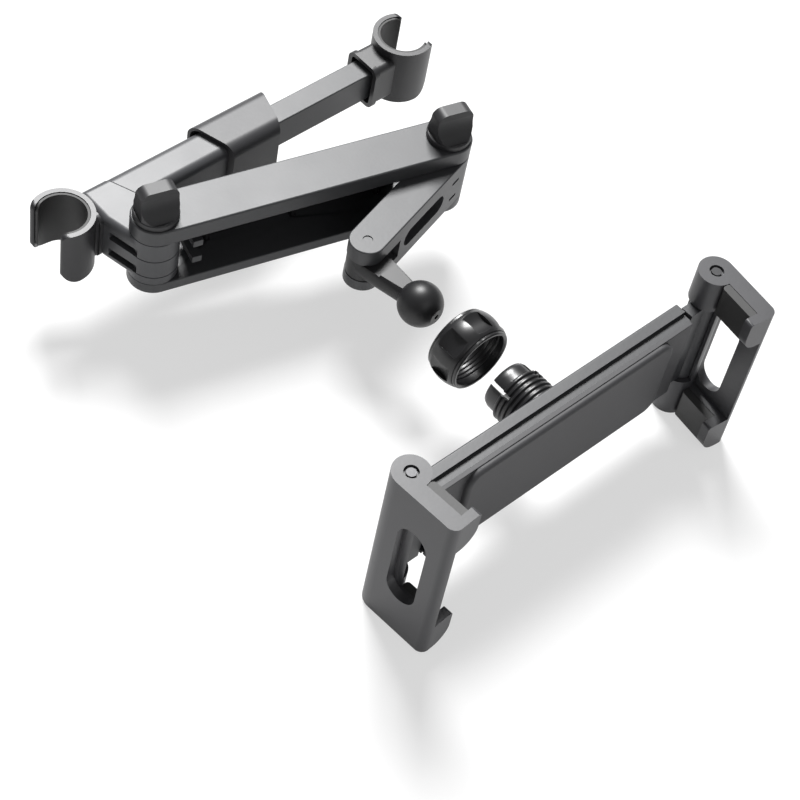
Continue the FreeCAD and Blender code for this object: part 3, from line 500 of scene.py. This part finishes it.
@dataclass
class Crossbar:
    """Hooks, hinge block, telescoping tubes and collar."""

    edge: float = 0.35
    liner_edge: float = 0.25
    block_edge: float = 0.45
    outer_tube_edge: float = 0.25
    inner_tube_edge: float = 0.3
    spring_wire: float = 0.9
    spring_pitch: float = 2.6
    spring_pressed: float = 0.36

    def dress(self) -> None:
        """Give each node its finish."""
        dress("left_hook", HOOK_BLACK, self.edge)
        dress("right_hook", HOOK_BLACK, self.edge)
        dress("left_hook_liner", LINER_RUBBER, self.liner_edge)
        dress("right_hook_liner", LINER_RUBBER, self.liner_edge)
        dress("hinge_block", BAR_BLACK, self.block_edge)
        dress("outer_tube", BAR_BLACK, self.outer_tube_edge)
        dress("bar_collar", COLLAR_BLACK, self.edge)
        dress("inner_tube", ARM_BLACK, self.inner_tube_edge)
        self.spring()

    def spring(self) -> None:
        """Wind the bar's spring and give it a mesh of its own."""
        piece = wound_spring("bar_spring", "crossbar", self.spring_wire, self.spring_pitch)
        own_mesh(piece)


@dataclass
class Arms:
    """Long arm, short arm, their pivots and wing knobs."""

    edge: float = 0.4
    screw_edge: float = 0.1
    pin_edge: float = 0.2
    knob_edge: float = 0.5

    def dress(self) -> None:
        """Give each node its finish."""
        dress("long_arm_top", ARM_BLACK, self.edge)
        dress("long_arm_bottom", ARM_BLACK, self.edge)
        dress("short_arm", ARM_BLACK, self.edge)
        dress("arm_screws", BLACKED_STEEL, self.screw_edge)
        dress("link_pin", ARM_BLACK, self.pin_edge)
        for side in SIDES:
            dress(f"{side}_knob", KNOB_BLACK, self.knob_edge)
            dress(f"{side}_pivot_bolt", BLACKED_STEEL, self.pin_edge)
            dress(f"{side}_pivot_nut", ZINC, self.pin_edge)


@dataclass
class BallJoint:
    """Ball link, ring nut with its wound thread, and split collet."""

    edge: float = 0.3
    collet_edge: float = 0.15
    screw_edge: float = 0.1
    bore_radius: float = 11.3
    thread_margin: float = 3.2
    thread_pitch: float = 1.5
    thread_depth: float = 0.4
    thread_steps: int = 64

    def dress(self) -> None:
        """Give each node its finish."""
        dress("ball_link", BALL_BLACK, self.edge)
        dress("ring_nut", GLOSS_BLACK, self.edge)
        dress("socket_collet", GLOSS_BLACK, self.collet_edge)
        dress("ball_seat", LINER_RUBBER)
        dress("collet_screw", ZINC, self.screw_edge)
        self.nut_thread()

    def nut_thread(self) -> None:
        """Wind the thread's crest inside the ring nut's bore."""
        low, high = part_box("ring_nut")
        centre = (low + high) / 2
        half = Vector((0, (high.y - low.y) / 2 - self.thread_margin * MM, 0))
        turns = round(2 * half.y / (self.thread_pitch * MM))
        mesh = bmesh.new()
        coil(mesh, centre - half, centre + half, self.bore_radius * MM, self.thread_depth * MM, turns,
             self.thread_steps)
        finish_piece(mesh, "nut_thread", GLOSS_BLACK, "nut")


@dataclass
class Holder:
    """Rail, front pad, sliders and feet."""

    edge: float = 0.4
    screw_edge: float = 0.1
    foot_pin_edge: float = 0.3
    jaw_pad_edge: float = 0.3
    spring_wire: float = 0.4
    spring_pitch: float = 1.1

    def dress(self) -> None:
        """Give each node its finish."""
        dress("rail_shell", RAIL_BLACK, self.edge)
        dress("front_cover", PAD_BLACK, self.edge)
        dress("cover_screws", ZINC, self.screw_edge)
        for side in SIDES:
            dress(f"{side}_slider", RAIL_BLACK, self.edge)
            wound_spring(f"{side}_slider_spring", "holder", self.spring_wire, self.spring_pitch)
            dress(f"{side}_foot", FOOT_BLACK, self.edge)
            dress(f"{side}_foot_pin", BLACKED_STEEL, self.foot_pin_edge)
            for level in ("upper", "lower"):
                dress(f"{side}_{level}_jaw_pad", JAW_RUBBER, self.jaw_pad_edge)


# Stage


@dataclass
class Studio:
    """Floor, lamps, world and camera.

    The floor's drop and all places are in millimetres; the floor's half side, the lamps' sides and their
    distance are in metres; angles are in degrees and powers in watts.
    """

    floor_drop: float = 0.6
    floor_size: float = 6.0
    floor_grey: float = 0.86
    floor_roughness: float = 0.9
    floor_specular: float = 0.1
    camera_place: tuple[float, float, float] = (-314.0, -410.9, 589.3)
    camera_right: tuple[float, float, float] = (0.73818, -0.66077, 0.13596)
    camera_up: tuple[float, float, float] = (0.46774, 0.64654, 0.60270)
    lens: float = 98.09
    sensor: float = 36.0
    sight: float = 20.0
    lamp_distance: float = 1.7
    key_side: float = 0.62
    key_power: float = 58.0
    key_azimuth: float = 58.0
    key_elevation: float = 54.0
    fill_side: float = 1.2
    fill_power: float = 4.0
    fill_azimuth: float = -100.0
    fill_elevation: float = 35.0
    world_level: float = 0.22
    floor_glow: float = 0.58
    target: tuple[float, float, float] = (80.0, -90.0, 0.0)

    def floor(self) -> None:
        """Lay a plain pale floor under the lowest foot."""
        low = CAD_BOX[0][2]
        mesh = bmesh.new()
        bmesh.ops.create_grid(mesh, x_segments=1, y_segments=1, size=self.floor_size,
                              matrix=Matrix.Translation((0, 0, low - self.floor_drop * MM)))
        data = bpy.data.meshes.new("floor")
        mesh.to_mesh(data)
        mesh.free()
        data.materials.append(self.floor_material())
        piece = bpy.data.objects.new("floor", data)
        bpy.context.scene.collection.objects.link(piece)

    def floor_material(self) -> bpy.types.Material:
        """Make the pale floor that shows near white to the camera and keeps a soft shadow.

        Returns:
            The floor's material.
        """
        material = bpy.data.materials.new("studio_floor")
        material.use_nodes = True
        tree = material.node_tree
        shader = tree.nodes["Principled BSDF"]
        shader.inputs["Base Color"].default_value = (self.floor_grey, self.floor_grey, self.floor_grey, 1)
        shader.inputs["Roughness"].default_value = self.floor_roughness
        shader.inputs["Specular IOR Level"].default_value = self.floor_specular
        glow = tree.nodes.new("ShaderNodeEmission")
        glow.inputs["Color"].default_value = WHITE
        glow.inputs["Strength"].default_value = 1.0
        rays = tree.nodes.new("ShaderNodeLightPath")
        seen = sum_node(tree, "MAXIMUM")
        share = sum_node(tree, "MULTIPLY", self.floor_glow)
        both = tree.nodes.new("ShaderNodeMixShader")
        through = sum_node(tree, "MAXIMUM")
        tree.links.new(rays.outputs["Is Camera Ray"], seen.inputs[0])
        tree.links.new(rays.outputs["Is Glossy Ray"], through.inputs[0])
        tree.links.new(rays.outputs["Is Transmission Ray"], through.inputs[1])
        tree.links.new(through.outputs[0], seen.inputs[1])
        tree.links.new(seen.outputs[0], share.inputs[0])
        tree.links.new(share.outputs[0], both.inputs[0])
        tree.links.new(shader.outputs[0], both.inputs[1])
        tree.links.new(glow.outputs[0], both.inputs[2])
        tree.links.new(both.outputs[0], tree.nodes["Material Output"].inputs["Surface"])
        return material

    def lamp(self, name: str, azimuth: float, elevation: float, power: float, side: float) -> None:
        """Add one soft square lamp that looks at the object.

        Args:
            name: the lamp's name.
            azimuth: degrees from +X, seen from above.
            elevation: degrees above the floor.
            power: watts.
            side: side of the square, in metres.
        """
        data = bpy.data.lights.new(name, "AREA")
        data.shape = "SQUARE"
        data.size = side
        data.energy = power
        piece = bpy.data.objects.new(name, data)
        turn, rise = math.radians(azimuth), math.radians(elevation)
        away = Vector((math.cos(turn) * math.cos(rise), math.sin(turn) * math.cos(rise), math.sin(rise)))
        piece.location = Vector(self.target) * MM + away * self.lamp_distance
        piece.rotation_euler = away.to_track_quat("Z", "Y").to_euler()
        bpy.context.scene.collection.objects.link(piece)

    def light(self) -> None:
        """Set the lamps and the world."""
        self.lamp("key", self.key_azimuth, self.key_elevation, self.key_power, self.key_side)
        self.lamp("fill", self.fill_azimuth, self.fill_elevation, self.fill_power, self.fill_side)
        self.world()

    def world(self) -> None:
        """Light the scene from all round, with white behind it for the camera."""
        world = bpy.data.worlds.new("studio")
        bpy.context.scene.world = world
        world.use_nodes = True
        tree = world.node_tree
        tree.nodes.clear()
        rays = tree.nodes.new("ShaderNodeLightPath")
        white = tree.nodes.new("ShaderNodeBackground")
        white.inputs["Color"].default_value = WHITE
        dim = tree.nodes.new("ShaderNodeBackground")
        dim.inputs["Color"].default_value = WHITE
        dim.inputs["Strength"].default_value = self.world_level
        both = tree.nodes.new("ShaderNodeMixShader")
        out = tree.nodes.new("ShaderNodeOutputWorld")
        tree.links.new(rays.outputs["Is Camera Ray"], both.inputs[0])
        tree.links.new(dim.outputs[0], both.inputs[1])
        tree.links.new(white.outputs[0], both.inputs[2])
        tree.links.new(both.outputs[0], out.inputs["Surface"])

    def camera(self) -> None:
        """Place the camera at the photograph's viewpoint."""
        data = bpy.data.cameras.new("camera")
        data.lens = self.lens
        data.sensor_width = self.sensor
        data.sensor_fit = "HORIZONTAL"
        data.clip_end = self.sight
        piece = bpy.data.objects.new("camera", data)
        right = Vector(self.camera_right).normalized()
        up = (Vector(self.camera_up) - right * right.dot(Vector(self.camera_up))).normalized()
        back = right.cross(up)
        turn = Matrix((right, up, back)).transposed().to_4x4()
        piece.matrix_world = Matrix.Translation(Vector(self.camera_place) * MM) @ turn
        bpy.context.scene.collection.objects.link(piece)
        bpy.context.scene.camera = piece
        bpy.context.scene.view_settings.view_transform = "Standard"


def main() -> None:
    """Build the sub-assemblies in order, then the stage."""
    logging.basicConfig(level=logging.INFO, format="%(message)s")
    for part in (Crossbar(), Arms(), BallJoint(), Holder()):
        part.dress()
    studio = Studio()
    studio.floor()
    studio.light()
    studio.camera()


if __name__ == "__main__":
    main()
